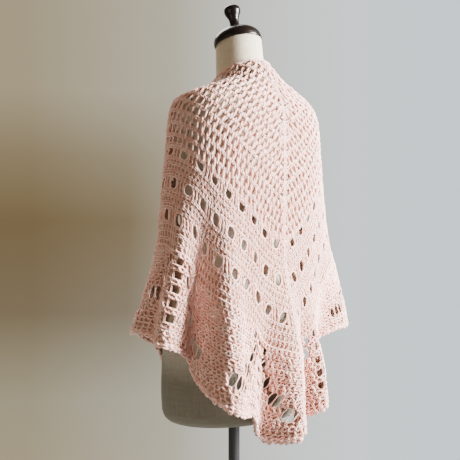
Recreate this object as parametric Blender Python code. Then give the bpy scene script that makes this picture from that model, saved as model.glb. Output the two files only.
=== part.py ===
"""A crocheted triangular shawl worn as a cape over a limbless dress form.

Metres, +Z up, with the floor at z = 0 and the pole on the Z axis. The form faces -Y, so the shawl's
spine runs down its back at +Y, and the form's left side is +X.

The shawl is laid out flat first. On each wing a place is (depth, share): depth is the distance down
the spine of the V-shaped crochet row that it lies on, and share runs along that row from 0 at the
spine to 1 at the top edge. The drape then carries it to an angle round the form and a distance down
the cloth. Angles are in degrees from the middle of the back, positive on the form's left.
"""
import math
from collections import namedtuple

import bpy
import numpy as np

# The shawl laid flat: a right-angled triangle with its nape at the middle of the long edge
SPINE_DEPTH = 0.800
HALF_SPAN = 0.800
WALL = 0.004
SEAM_GAP = 0.0003

# Where the V-shaped rows change stitch, as depths down the spine
EYELET_DEPTHS = (0.400, 0.475, 0.550)
EYELET_HEIGHT = 0.021
BORDER_DEPTH = 0.620
BORDER_ROWS = (0.62015, 0.6470, 0.6750, 0.7030, 0.7310, 0.7590, 0.78485)
PICOT_DEPTH = 0.785
PICOT_ROOT_DEPTH = 0.7915
BORDER_CELLS = 56
LADDER_CELLS = (8, 30, 53)

# How the flat shawl turns round the neck and hangs
EDGE_ANGLE = 165.0
NECK_TURN = 0.17
NECK_WRAP = 0.14
COLLAR_HEIGHT = 1.405
LOWEST_CLOTH = 0.600
FULL_FOLD_HEIGHT = 0.760

# The dress form under it
POLE_RADIUS = 0.012
BASE_RADIUS = 0.170
BASE_THICKNESS = 0.012
HUB_RADIUS = 0.030
HUB_HEIGHT = 0.040
TORSO_BOTTOM = 0.700
NECK_TOP = 1.466
NECK_SLOPE = 0.25
CAP_RADIUS = 0.0505
CAP_RISE = 0.034
CAP_RIM = 0.007
KNOB_HEIGHT = 0.052

Section = namedtuple("Section", "height half_width back front centre fullness")
Lean = namedtuple("Lean", "height slope")
Fold = namedtuple("Fold", "angle width depth start")
HemPoint = namedtuple("HemPoint", "angle height")

# Sections tip forward towards the neck: each is higher behind and lower in front by this slope
LEANS = (
    Lean(1.20, 0.00),
    Lean(1.28, 0.11),
    Lean(1.33, 0.20),
    Lean(1.39, NECK_SLOPE),
    Lean(1.47, NECK_SLOPE),
)

# Inside of the hanging cloth, without its folds
CLOTH_SECTIONS = (
    Section(1.412, 0.0545, 0.0560, 0.0540, 0.0170, 0.00),
    Section(1.400, 0.0560, 0.0620, 0.0545, 0.0180, 0.00),
    Section(1.380, 0.0640, 0.0740, 0.0580, 0.0190, 0.02),
    Section(1.365, 0.0800, 0.0810, 0.0620, 0.0190, 0.04),
    Section(1.352, 0.1150, 0.0870, 0.0700, 0.0190, 0.05),
    Section(1.341, 0.1450, 0.0920, 0.0780, 0.0200, 0.05),
    Section(1.330, 0.1670, 0.0960, 0.0850, 0.0220, 0.05),
    Section(1.316, 0.1770, 0.1010, 0.0900, 0.0260, 0.05),
    Section(1.295, 0.1830, 0.1050, 0.0930, 0.0290, 0.05),
    Section(1.240, 0.1900, 0.1060, 0.0990, 0.0310, 0.05),
    Section(1.170, 0.1985, 0.1050, 0.1070, 0.0320, 0.06),
    Section(1.100, 0.2060, 0.1010, 0.1130, 0.0340, 0.08),
    Section(1.030, 0.2160, 0.1010, 0.1220, 0.0360, 0.08),
    Section(0.950, 0.2360, 0.1160, 0.1360, 0.0320, 0.06),
    Section(0.880, 0.2480, 0.1310, 0.1460, 0.0250, 0.04),
    Section(0.800, 0.2500, 0.1410, 0.1500, 0.0200, 0.03),
    Section(0.700, 0.2500, 0.1450, 0.1500, 0.0160, 0.03),
    Section(0.600, 0.2500, 0.1450, 0.1500, 0.0160, 0.03),
)

# Hanging folds, ridges outward and valleys inward, at their full depth low down
FOLDS = (
    Fold(1, 7, 0.024, 1.02),
    Fold(15, 7, -0.026, 1.00),
    Fold(37, 7, 0.042, 1.16),
    Fold(47, 6, 0.030, 0.93),
    Fold(54, 10, -0.055, 1.22),
    Fold(72, 7, 0.030, 1.20),
    Fold(84, 6, -0.012, 1.10),
    Fold(102, 14, 0.027, 1.03),
    Fold(124, 8, -0.012, 1.08),
    Fold(138, 8, 0.012, 1.10),
    Fold(152, 6, -0.006, 1.14),
    Fold(-8, 4.5, -0.026, 0.98),
    Fold(-16, 5.5, 0.030, 0.93),
    Fold(-29, 9, -0.040, 1.02),
    Fold(-56, 15, 0.030, 1.12),
    Fold(-80, 9, -0.014, 1.04),
    Fold(-99, 10, 0.020, 1.06),
    Fold(-118, 9, -0.018, 1.08),
    Fold(-136, 8, 0.016, 1.10),
    Fold(-151, 6, -0.006, 1.12),
)

# Height of the hem round the form
HEM = (
    HemPoint(-165, 0.745),
    HemPoint(-157, 0.795),
    HemPoint(-148, 0.838),
    HemPoint(-136, 0.866),
    HemPoint(-116, 0.880),
    HemPoint(-98, 0.884),
    HemPoint(-70, 0.888),
    HemPoint(-52, 0.874),
    HemPoint(-38, 0.866),
    HemPoint(-30, 0.845),
    HemPoint(-24, 0.790),
    HemPoint(-17, 0.736),
    HemPoint(-11, 0.712),
    HemPoint(-5, 0.694),
    HemPoint(0, 0.681),
    HemPoint(10, 0.674),
    HemPoint(16, 0.686),
    HemPoint(24, 0.738),
    HemPoint(31, 0.742),
    HemPoint(36, 0.752),
    HemPoint(43, 0.772),
    HemPoint(49, 0.795),
    HemPoint(54, 0.822),
    HemPoint(60, 0.846),
    HemPoint(67, 0.866),
    HemPoint(76, 0.875),
    HemPoint(92, 0.889),
    HemPoint(114, 0.889),
    HemPoint(130, 0.876),
    HemPoint(142, 0.860),
    HemPoint(152, 0.832),
    HemPoint(159, 0.795),
    HemPoint(165, 0.745),
)

# Outside of the linen torso and its neck
FORM_SECTIONS = (
    Section(0.700, 0.1480, 0.1080, 0.1060, 0.0000, 0.0),
    Section(0.703, 0.1560, 0.1160, 0.1140, 0.0000, 0.0),
    Section(0.711, 0.1630, 0.1230, 0.1210, 0.0000, 0.0),
    Section(0.724, 0.1665, 0.1265, 0.1245, 0.0000, 0.0),
    Section(0.760, 0.1680, 0.1280, 0.1260, 0.0000, 0.0),
    Section(0.820, 0.1665, 0.1265, 0.1240, 0.0000, 0.0),
    Section(0.900, 0.1540, 0.1120, 0.1130, 0.0020, 0.0),
    Section(0.970, 0.1340, 0.0960, 0.0990, 0.0080, 0.0),
    Section(1.030, 0.1230, 0.0860, 0.0930, 0.0150, 0.0),
    Section(1.100, 0.1290, 0.0880, 0.1000, 0.0220, 0.0),
    Section(1.170, 0.1420, 0.0960, 0.1020, 0.0260, 0.0),
    Section(1.240, 0.1560, 0.0990, 0.0940, 0.0290, 0.02),
    Section(1.275, 0.1680, 0.0990, 0.0880, 0.0290, 0.03),
    Section(1.295, 0.1740, 0.0980, 0.0870, 0.0290, 0.04),
    Section(1.316, 0.1705, 0.0950, 0.0845, 0.0260, 0.04),
    Section(1.330, 0.1610, 0.0905, 0.0795, 0.0220, 0.04),
    Section(1.341, 0.1385, 0.0865, 0.0725, 0.0200, 0.04),
    Section(1.352, 0.1090, 0.0815, 0.0645, 0.0190, 0.04),
    Section(1.365, 0.0745, 0.0750, 0.0565, 0.0190, 0.03),
    Section(1.380, 0.0585, 0.0650, 0.0525, 0.0190, 0.01),
    Section(1.400, 0.0510, 0.0560, 0.0500, 0.0180, 0.0),
    Section(1.420, 0.0495, 0.0505, 0.0490, 0.0165, 0.0),
    Section(1.466, 0.0475, 0.0480, 0.0475, 0.0130, 0.0),
)
FORM_SIDES = 36

Finish = namedtuple("Finish", "color roughness metallic")
YARN_FINISH = Finish((0.86, 0.66, 0.60), 0.9, 0.0)
LINEN_FINISH = Finish((0.66, 0.62, 0.55), 0.9, 0.0)
WALNUT_FINISH = Finish((0.035, 0.018, 0.012), 0.25, 0.0)
STEEL_FINISH = Finish((0.02, 0.02, 0.022), 0.4, 0.8)


def eased(where, knots, values):
    """A smooth curve through a short table of values that never overshoots them."""
    knots = np.asarray(knots, dtype=float)
    values = np.asarray(values, dtype=float)
    run = np.diff(knots)
    rise = np.diff(values) / run
    slope = np.zeros_like(values)
    slope[0] = rise[0]
    slope[-1] = rise[-1]
    product = rise[:-1] * rise[1:]
    total = rise[:-1] + rise[1:]
    level = product <= 0.0
    slope[1:-1] = np.where(level, 0.0, 2.0 * product / np.where(level, 1.0, total))
    where = np.clip(where, knots[0], knots[-1])
    span = np.clip(np.searchsorted(knots, where, side="right") - 1, 0, len(run) - 1)
    part = (where - knots[span]) / run[span]
    back = 1.0 - part
    ends = (1.0 + 2.0 * part) * back**2 * values[span] + part**2 * (3.0 - 2.0 * part) * values[span + 1]
    lean = part * back**2 * slope[span] - part**2 * back * slope[span + 1]
    return ends + run[span] * lean


def ring_point(sections, angle, height):
    """A place on the oval section of this height, and the way out from it."""
    rows = sorted(sections)
    heights = [row.height for row in rows]
    half_width = eased(height, heights, [row.half_width for row in rows])
    back = eased(height, heights, [row.back for row in rows])
    front = eased(height, heights, [row.front for row in rows])
    centre = eased(height, heights, [row.centre for row in rows])
    fullness = eased(height, heights, [row.fullness for row in rows])
    lean = eased(height, [row.height for row in LEANS], [row.slope for row in LEANS])
    turn = np.radians(angle)
    side = np.sin(turn)
    rear = np.cos(turn)
    reach = np.where(rear >= 0.0, back, front)
    swell = 1.0 + np.where(rear >= 0.0, fullness, 0.0) * np.sin(2.0 * turn) ** 2
    depth = centre + reach * rear * swell
    place = np.stack([half_width * side * swell, depth, height + lean * depth], axis=-1)
    out = np.stack([side / half_width, rear / reach, 0.0 * side], axis=-1)
    return place, out / np.linalg.norm(out, axis=-1, keepdims=True)


def fold_offset(angle, height):
    """How far the hanging folds move the cloth out or in."""
    offset = np.zeros(np.broadcast(angle, height).shape)
    for fold in FOLDS:
        growth = np.clip((fold.start - height) / (fold.start - FULL_FOLD_HEIGHT), 0.0, 1.3)
        growth = np.where(growth < 1.0, growth * growth * (3.0 - 2.0 * growth), growth)
        offset = offset + fold.depth * growth * np.exp(-(((angle - fold.angle) / fold.width) ** 2))
    return offset


def cloth_point(angle, height):
    """The inside of the hanging cloth."""
    place, out = ring_point(CLOTH_SECTIONS, angle, height)
    return place + out * fold_offset(angle, height)[..., None]


def cloth_normal(angle, height):
    """The way out of the hanging cloth, square to it."""
    small_turn = 0.25
    small_rise = 0.0005
    across = cloth_point(angle + small_turn, height) - cloth_point(angle - small_turn, height)
    upward = cloth_point(angle, height + small_rise) - cloth_point(angle, height - small_rise)
    normal = np.cross(upward, across)
    return normal / np.linalg.norm(normal, axis=-1, keepdims=True)


class Drape:
    """Carries flat places on the shawl to places on the hanging cloth.

    The cloth of one row is shared out evenly along its whole curve, folds included, so stitches of
    one row are equally wide.
    """

    COLUMNS = 133
    LEVELS = 260
    ROWS = 101
    SHARES = 301

    def __init__(self):
        self.angles = np.linspace(-EDGE_ANGLE, EDGE_ANGLE, self.COLUMNS)
        heights = np.linspace(COLLAR_HEIGHT, LOWEST_CLOTH, 420)
        grid_angle, grid_height = np.meshgrid(self.angles, heights, indexing="ij")
        places = ring_point(CLOTH_SECTIONS, grid_angle, grid_height)[0]
        steps = np.linalg.norm(np.diff(places, axis=1), axis=2)
        lengths = np.concatenate([np.zeros((self.COLUMNS, 1)), np.cumsum(steps, axis=1)], axis=1)
        self.longest = lengths[:, -1].min()
        self.levels = np.linspace(0.0, self.longest, self.LEVELS)
        self.heights = np.stack([np.interp(self.levels, row, heights) for row in lengths])
        hem = eased(self.angles, [row.angle for row in HEM], [row.height for row in HEM])
        self.hem_lengths = np.array(
            [np.interp(-height, -heights, row) for height, row in zip(hem, lengths)]
        )
        self.turns = {side: self.even_turns(side) for side in (1, -1)}

    def even_turns(self, side):
        """For each row, the turn round the form at evenly spaced shares of its curve."""
        shares = np.linspace(0.0, 1.0, self.SHARES)
        table = [shares]
        for depth in np.linspace(0.0, SPINE_DEPTH, self.ROWS)[1:]:
            places = cloth_point(*self.hang_by_turn(depth, shares, side))
            steps = np.linalg.norm(np.diff(places, axis=0), axis=1)
            run = np.concatenate([[0.0], np.cumsum(steps)])
            table.append(np.interp(shares, run / run[-1], shares))
        return np.array(table)

    def height(self, angle, length):
        """The height of the cloth this far down from the collar at this angle."""
        column = (angle + EDGE_ANGLE) / (2.0 * EDGE_ANGLE) * (self.COLUMNS - 1)
        level = length / self.longest * (self.LEVELS - 1)
        return between(self.heights, column, level)

    def hang_by_turn(self, depth, turn, side):
        """Angle and height of a row's place, by how far it has turned towards the top edge."""
        ratio = HALF_SPAN / SPINE_DEPTH
        spread = np.hypot(1.0 - turn, turn * ratio)
        turned = np.tanh(depth / NECK_TURN) / math.tanh(SPINE_DEPTH / NECK_TURN)
        angle = side * EDGE_ANGLE * turn * turned
        collar = NECK_WRAP * turn**2 * np.tanh(depth * ratio / NECK_WRAP)
        hem = np.interp(side * EDGE_ANGLE * turn, self.angles, self.hem_lengths)
        stretch = (hem + NECK_WRAP * turn**2) / (spread * SPINE_DEPTH) - 1.0
        length = depth * spread * (1.0 + (depth / SPINE_DEPTH) ** 2 * stretch) - collar
        return angle, self.height(angle, np.maximum(length, 0.0))

    def hang(self, depth, share, side):
        """Angle and height of the flat place (depth, share) on the wing of this side."""
        row = depth / SPINE_DEPTH * (self.ROWS - 1)
        turn = between(self.turns[side], row, share * (self.SHARES - 1))
        return self.hang_by_turn(depth, turn, side)


def between(table, row, column):
    """A value between the four nearest entries of a table."""
    row = np.clip(row, 0.0, table.shape[0] - 1.0001)
    column = np.clip(column, 0.0, table.shape[1] - 1.0001)
    above = row.astype(int)
    left = column.astype(int)
    down = row - above
    across = column - left
    near = table[above, left] * (1.0 - across) + table[above, left + 1] * across
    far = table[above + 1, left] * (1.0 - across) + table[above + 1, left + 1] * across
    return near * (1.0 - down) + far * down


def turned_over(ring):
    """The same corners the other way round, still from the first one."""
    return ring[:1] + ring[:0:-1]


class Panel:
    """A stretch of one wing, gathered as flat corners and then given its wall."""

    def __init__(self, side):
        self.side = side
        self.flat = []
        self.known = {}
        self.faces = []

    def corner(self, depth, share):
        key = (round(depth, 7), round(share, 7))
        if key not in self.known:
            self.known[key] = len(self.flat)
            self.flat.append(key)
        return self.known[key]

    def face(self, *corners):
        ring = [self.corner(depth, share) for depth, share in corners]
        self.faces.append(ring if self.side > 0 else turned_over(ring))

    def cell(self, upper, lower, near, far):
        """A cell between two rows and two shares."""
        self.face((upper, far), (lower, far), (lower, near), (upper, near))

    def slotted_cell(self, upper, lower, near, far, start, end, slots):
        """A cell with one or two slots cut through it, one under the other.

        A slot is (top, bottom), and start and end are its two sides, all as shares of the cell.
        """
        in_near = near + (far - near) * start
        in_far = near + (far - near) * end
        levels = [upper + (lower - upper) * share for slot in slots for share in slot]
        self.face((upper, near), (upper, far), (levels[0], in_far), (levels[0], in_near))
        self.face((upper, far), (lower, far), *[(level, in_far) for level in reversed(levels)])
        self.face((lower, far), (lower, near), (levels[-1], in_near), (levels[-1], in_far))
        self.face((lower, near), (upper, near), *[(level, in_near) for level in levels])
        for above, below in zip(levels[1::2], levels[2::2]):
            self.cell(above, below, in_near, in_far)

    def band(self, upper, lower, cells):
        """A row of equal cells."""
        for index in range(cells):
            self.cell(upper, lower, index / cells, (index + 1) / cells)

    def zipper(self, upper, upper_cells, lower, lower_cells):
        """Triangles between two rows that hold different numbers of cells."""
        above = 0
        below = 0
        while above < upper_cells or below < lower_cells:
            here = (upper, above / upper_cells)
            under = (lower, below / lower_cells)
            if below == lower_cells or (above + 1) * lower_cells < (below + 1) * upper_cells:
                above += 1
                self.face(here, (upper, above / upper_cells), under)
            else:
                below += 1
                self.face(here, (lower, below / lower_cells), under)

    def solid(self, name, drape, material):
        """Carries the corners onto the hanging cloth and closes the wall round them.

        Each edge is split from its outer corner of smaller share, so walls that face each other
        across a seam bend alike.
        """
        depth, share = np.array(self.flat).T
        angle, height = drape.hang(depth, share, self.side)
        inner = cloth_point(angle, height)
        outer = inner + WALL * cloth_normal(angle, height)
        at_spine = (share == 0.0) | (depth == 0.0)
        inner[at_spine, 0] = self.side * SEAM_GAP / 2.0
        outer[at_spine, 0] = self.side * SEAM_GAP / 2.0
        count = len(self.flat)
        edges = {(ring[i - 1], ring[i]) for ring in self.faces for i in range(len(ring))}
        faces = [list(ring) for ring in self.faces]
        faces += [[corner + count for corner in turned_over(ring)] for ring in self.faces]
        for start, end in sorted(edges):
            if (end, start) not in edges:
                if share[start] <= share[end]:
                    faces.append([end, start, end + count])
                    faces.append([start, start + count, end + count])
                else:
                    faces.append([end, start, start + count])
                    faces.append([end, start + count, end + count])
        return new_object(name, np.concatenate([outer, inner]).tolist(), faces, material)


def new_object(name, points, faces, material):
    """A mesh object of its own in the scene."""
    mesh = bpy.data.meshes.new(name)
    mesh.from_pydata(points, [], faces)
    mesh.validate()
    mesh.update()
    mesh.shade_smooth()
    mesh.set_sharp_from_angle(angle=math.radians(40.0))
    mesh.materials.append(material)
    piece = bpy.data.objects.new(name, mesh)
    bpy.context.scene.collection.objects.link(piece)
    return piece


def new_material(name, finish):
    """A plain Principled material with the part's own colour."""
    material = bpy.data.materials.new(name)
    material.use_nodes = True
    shader = material.node_tree.nodes["Principled BSDF"]
    shader.inputs["Base Color"].default_value = (*finish.color, 1.0)
    shader.inputs["Roughness"].default_value = finish.roughness
    shader.inputs["Metallic"].default_value = finish.metallic
    return material


def eyelet_band(panel, depth, cells):
    """A row of large eyelets: every second cell is left open."""
    upper = depth - EYELET_HEIGHT / 2.0
    lower = depth + EYELET_HEIGHT / 2.0
    for index in range(cells):
        if index % 2 == 0 or index == cells - 1:
            panel.cell(upper, lower, index / cells, (index + 1) / cells)


def build_wing(name, side, drape, material):
    """Mesh rows from the nape to the lace border, with three rows of eyelets."""
    panel = Panel(side)
    first_row = 0.030
    cells = 5
    for index in range(cells):
        panel.face((0.0, 0.0), (first_row, (index + 1) / cells), (first_row, index / cells))
    plain_rows = ((0.060, 6), (0.090, 8), (0.120, 10), (0.145, 13), (0.170, 15), (0.195, 18), (0.220, 20),
                  (0.245, 20), (0.270, 22), (0.300, 24), (0.330, 26), (0.360, 28))
    depth = first_row
    for next_depth, next_cells in plain_rows:
        depth, cells = join_rows(panel, depth, cells, next_depth, next_cells)
    for eyelets, eyelet_cells in zip(EYELET_DEPTHS, (28, 30, 32)):
        if eyelets > EYELET_DEPTHS[0]:
            depth, cells = join_rows(panel, depth, cells, eyelets - 0.037, cells)
        upper = eyelets - EYELET_HEIGHT / 2.0
        depth, cells = join_rows(panel, depth, cells, upper, eyelet_cells)
        eyelet_band(panel, eyelets, cells)
        depth = eyelets + EYELET_HEIGHT / 2.0
    depth, cells = join_rows(panel, depth, cells, 0.588, 40)
    join_rows(panel, depth, cells, BORDER_DEPTH - SEAM_GAP / 2.0, BORDER_CELLS)
    return panel.solid(name, drape, material)


def join_rows(panel, upper, upper_cells, lower, lower_cells):
    """Cells between two rows, whether or not they hold equally many, and the lower row's values."""
    if upper_cells == lower_cells:
        panel.band(upper, lower, lower_cells)
    else:
        panel.zipper(upper, upper_cells, lower, lower_cells)
    return lower, lower_cells


def lace_slots():
    """The cut places round a ladder, by row and by distance from it in cells.

    Each is the slot's two sides, then its top and bottom. The ladder is a column of wide holes. From
    beside its top a chain of slots runs down each way, so that leaves hang between the ladders.
    """
    large_hole = (0.08, 0.92, ((0.12, 0.86),))
    leaf_slot = (0.22, 0.78, ((0.08, 0.90),))
    ladder_hole = (0.05, 0.95, ((0.14, 0.82),))
    slots = {(row, 0): ladder_hole for row in range(5)}
    slots[(0, 2)] = large_hole
    for distance, row in ((2, 1), (3, 2), (4, 3), (5, 3), (6, 4), (7, 4), (8, 4)):
        slots[(row, distance)] = leaf_slot
    return slots


def build_border(name, side, drape, material):
    """The deep lace border. One leaf has its middle on the spine, so each wing starts with half of it."""
    panel = Panel(side)
    slots = lace_slots()
    for row, (upper, lower) in enumerate(zip(BORDER_ROWS, BORDER_ROWS[1:])):
        for cell in range(BORDER_CELLS):
            near = cell / BORDER_CELLS
            far = (cell + 1) / BORDER_CELLS
            slot = slots.get((row, min(abs(cell - ladder) for ladder in LADDER_CELLS)))
            if slot and 0 < cell < BORDER_CELLS - 1:
                panel.slotted_cell(upper, lower, near, far, *slot)
            else:
                panel.cell(upper, lower, near, far)
    return panel.solid(name, drape, material)


def build_picots(name, side, drape, material):
    """The last row along the hem: a narrow band with two small points to each cell."""
    panel = Panel(side)
    points = 2 * BORDER_CELLS
    panel.zipper(PICOT_DEPTH + SEAM_GAP / 2.0, BORDER_CELLS, PICOT_ROOT_DEPTH, points)
    for index in range(points):
        near = index / points
        far = (index + 1) / points
        panel.face((PICOT_ROOT_DEPTH, near), (PICOT_ROOT_DEPTH, far), (SPINE_DEPTH, (near + far) / 2.0))
    return panel.solid(name, drape, material)


def build_torso(name, material):
    """The linen torso and neck as one closed loft with a flat underside."""
    points = []
    for section in FORM_SECTIONS:
        for index in range(FORM_SIDES):
            angle = 360.0 * index / FORM_SIDES
            place = ring_point(FORM_SECTIONS, np.array(angle), np.array(section.height))[0]
            points.append(place.tolist())
    faces = [list(range(FORM_SIDES))]
    for ring in range(len(FORM_SECTIONS) - 1):
        for index in range(FORM_SIDES):
            a = ring * FORM_SIDES + index
            b = ring * FORM_SIDES + (index + 1) % FORM_SIDES
            faces.append([b, a, a + FORM_SIDES, b + FORM_SIDES])
    top = (len(FORM_SECTIONS) - 1) * FORM_SIDES
    faces.append([top + index for index in reversed(range(FORM_SIDES))])
    return new_object(name, points, faces, material)


def turned(name, profile, sides, material, foot=(0.0, 0.0), slope=0.0):
    """A solid of revolution from (radius, height) pairs, the bottom first.

    Its foot is a (y, z) place, and it stands square to a plane that rises backward by the slope.
    """
    length = math.hypot(1.0, slope)
    points = []
    for radius, height in profile:
        for index in range(sides):
            turn = 2.0 * math.pi * index / sides
            backward = radius * math.sin(turn)
            points.append((
                radius * math.cos(turn),
                foot[0] + (backward - height * slope) / length,
                foot[1] + (backward * slope + height) / length,
            ))
    faces = [list(reversed(range(sides)))]
    for ring in range(len(profile) - 1):
        for index in range(sides):
            a = ring * sides + index
            b = ring * sides + (index + 1) % sides
            faces.append([a, b, b + sides, a + sides])
    top = (len(profile) - 1) * sides
    faces.append([top + index for index in range(sides)])
    return new_object(name, points, faces, material)


def neck_foot():
    """The middle of the neck's sloping top, as (y, z)."""
    centre = FORM_SECTIONS[-1].centre
    return centre, NECK_TOP + NECK_SLOPE * centre


def build_neck_cap(name, material):
    """The domed wooden cap on the neck."""
    profile = [(CAP_RADIUS - 0.002, SEAM_GAP), (CAP_RADIUS, 0.003), (CAP_RADIUS, CAP_RIM)]
    for step in range(1, 6):
        turn = math.radians(90.0 * step / 6.0)
        profile.append((CAP_RADIUS * math.cos(turn) ** 0.8, CAP_RIM + (CAP_RISE - CAP_RIM) * math.sin(turn)))
    profile.append((0.0125, CAP_RISE))
    return turned(name, profile, 28, material, neck_foot(), NECK_SLOPE)


def build_knob(name, material):
    """The turned finial: a foot, a waist and a round head."""
    base = CAP_RISE + SEAM_GAP
    profile = ((0.0115, 0.000), (0.0125, 0.003), (0.0110, 0.006), (0.0085, 0.012), (0.0090, 0.018),
               (0.0125, 0.024), (0.0165, 0.031), (0.0180, 0.038), (0.0165, 0.045), (0.0110, 0.050),
               (0.0050, KNOB_HEIGHT))
    lifted = [(radius, base + height) for radius, height in profile]
    return turned(name, lifted, 20, material, neck_foot(), NECK_SLOPE)


def build_stand(material):
    """The steel pole and the round base plate that it stands in."""
    hub_top = BASE_THICKNESS + HUB_HEIGHT
    plate = ((BASE_RADIUS, 0.0), (BASE_RADIUS, BASE_THICKNESS - 0.003),
             (BASE_RADIUS - 0.005, BASE_THICKNESS), (HUB_RADIUS, BASE_THICKNESS + 0.004),
             (POLE_RADIUS + 0.006, BASE_THICKNESS + 0.012), (POLE_RADIUS + 0.004, hub_top))
    turned("base_plate", plate, 40, material)
    pole = ((POLE_RADIUS, hub_top + SEAM_GAP), (POLE_RADIUS, TORSO_BOTTOM - SEAM_GAP))
    turned("pole", pole, 20, material)


def main():
    for leftover in list(bpy.data.objects):
        bpy.data.objects.remove(leftover, do_unlink=True)
    yarn = new_material("yarn", YARN_FINISH)
    linen = new_material("linen", LINEN_FINISH)
    walnut = new_material("walnut", WALNUT_FINISH)
    steel = new_material("steel", STEEL_FINISH)
    drape = Drape()
    for side, word in ((1, "left"), (-1, "right")):
        build_wing("shawl_wing_" + word, side, drape, yarn)
        build_border("lace_border_" + word, side, drape, yarn)
        build_picots("picot_edge_" + word, side, drape, yarn)
    build_torso("form_torso", linen)
    build_neck_cap("neck_cap", walnut)
    build_knob("finial_knob", walnut)
    build_stand(steel)


main()
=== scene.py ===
import math
from collections import namedtuple

import bpy
import numpy as np
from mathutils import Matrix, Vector


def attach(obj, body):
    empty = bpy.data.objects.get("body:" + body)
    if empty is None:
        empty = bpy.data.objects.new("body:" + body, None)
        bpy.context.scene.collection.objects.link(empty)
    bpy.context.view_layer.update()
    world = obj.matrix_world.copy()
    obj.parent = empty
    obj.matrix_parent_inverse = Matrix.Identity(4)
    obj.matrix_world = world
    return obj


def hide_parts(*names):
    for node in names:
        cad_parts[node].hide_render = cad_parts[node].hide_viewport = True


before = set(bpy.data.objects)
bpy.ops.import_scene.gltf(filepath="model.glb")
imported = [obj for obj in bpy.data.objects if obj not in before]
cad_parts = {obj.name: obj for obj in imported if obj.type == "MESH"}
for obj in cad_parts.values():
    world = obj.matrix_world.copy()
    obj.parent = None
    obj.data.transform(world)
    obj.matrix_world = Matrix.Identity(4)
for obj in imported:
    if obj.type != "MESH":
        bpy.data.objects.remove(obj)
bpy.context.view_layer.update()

# The shawl laid flat: a right-angled triangle with its nape at the middle of the long edge
SPINE_DEPTH = 0.800
HALF_SPAN = 0.800
WALL = 0.004
SEAM_GAP = 0.0003

# Where the V-shaped rows change stitch, as depths down the spine
EYELET_DEPTHS = (0.400, 0.475, 0.550)
EYELET_HEIGHT = 0.021
BORDER_ROWS = (0.62015, 0.6470, 0.6750, 0.7030, 0.7310, 0.7590, 0.78485)
PICOT_DEPTH = 0.785
PICOT_ROOT_DEPTH = 0.7915
BORDER_CELLS = 56
LADDER_CELLS = (8, 30, 53)

# How the flat shawl turns round the neck and hangs
EDGE_ANGLE = 165.0
NECK_TURN = 0.17
NECK_WRAP = 0.14
COLLAR_HEIGHT = 1.405
LOWEST_CLOTH = 0.600
FULL_FOLD_HEIGHT = 0.760

# The dress form under it
NECK_TOP = 1.466
NECK_SLOPE = 0.25
CAP_RADIUS = 0.0505
CAP_RISE = 0.034
CAP_RIM = 0.007
KNOB_HEIGHT = 0.052

Section = namedtuple("Section", "height half_width back front centre fullness")
Lean = namedtuple("Lean", "height slope")
Fold = namedtuple("Fold", "angle width depth start")
HemPoint = namedtuple("HemPoint", "angle height")

# Sections tip forward towards the neck: each is higher behind and lower in front by this slope
LEANS = (
    Lean(1.20, 0.00),
    Lean(1.28, 0.11),
    Lean(1.33, 0.20),
    Lean(1.39, NECK_SLOPE),
    Lean(1.47, NECK_SLOPE),
)

# Inside of the hanging cloth, without its folds
CLOTH_SECTIONS = tuple(Section(*row) for row in (
    (1.412, 0.0545, 0.0560, 0.0540, 0.0170, 0.00), (1.400, 0.0560, 0.0620, 0.0545, 0.0180, 0.00),
    (1.380, 0.0640, 0.0740, 0.0580, 0.0190, 0.02), (1.365, 0.0800, 0.0810, 0.0620, 0.0190, 0.04),
    (1.352, 0.1150, 0.0870, 0.0700, 0.0190, 0.05), (1.341, 0.1450, 0.0920, 0.0780, 0.0200, 0.05),
    (1.330, 0.1670, 0.0960, 0.0850, 0.0220, 0.05), (1.316, 0.1770, 0.1010, 0.0900, 0.0260, 0.05),
    (1.295, 0.1830, 0.1050, 0.0930, 0.0290, 0.05), (1.240, 0.1900, 0.1060, 0.0990, 0.0310, 0.05),
    (1.170, 0.1985, 0.1050, 0.1070, 0.0320, 0.06), (1.100, 0.2060, 0.1010, 0.1130, 0.0340, 0.08),
    (1.030, 0.2160, 0.1010, 0.1220, 0.0360, 0.08), (0.950, 0.2360, 0.1160, 0.1360, 0.0320, 0.06),
    (0.880, 0.2480, 0.1310, 0.1460, 0.0250, 0.04), (0.800, 0.2500, 0.1410, 0.1500, 0.0200, 0.03),
    (0.700, 0.2500, 0.1450, 0.1500, 0.0160, 0.03), (0.600, 0.2500, 0.1450, 0.1500, 0.0160, 0.03),
))

# Hanging folds, ridges outward and valleys inward, at their full depth low down
FOLDS = tuple(Fold(*row) for row in (
    (1, 7, 0.024, 1.02), (15, 7, -0.026, 1.00), (37, 7, 0.042, 1.16), (47, 6, 0.030, 0.93),
    (54, 10, -0.055, 1.22), (72, 7, 0.030, 1.20), (84, 6, -0.012, 1.10), (102, 14, 0.027, 1.03),
    (124, 8, -0.012, 1.08), (138, 8, 0.012, 1.10), (152, 6, -0.006, 1.14), (-8, 4.5, -0.026, 0.98),
    (-16, 5.5, 0.030, 0.93), (-29, 9, -0.040, 1.02), (-56, 15, 0.030, 1.12), (-80, 9, -0.014, 1.04),
    (-99, 10, 0.020, 1.06), (-118, 9, -0.018, 1.08), (-136, 8, 0.016, 1.10), (-151, 6, -0.006, 1.12),
))

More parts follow.
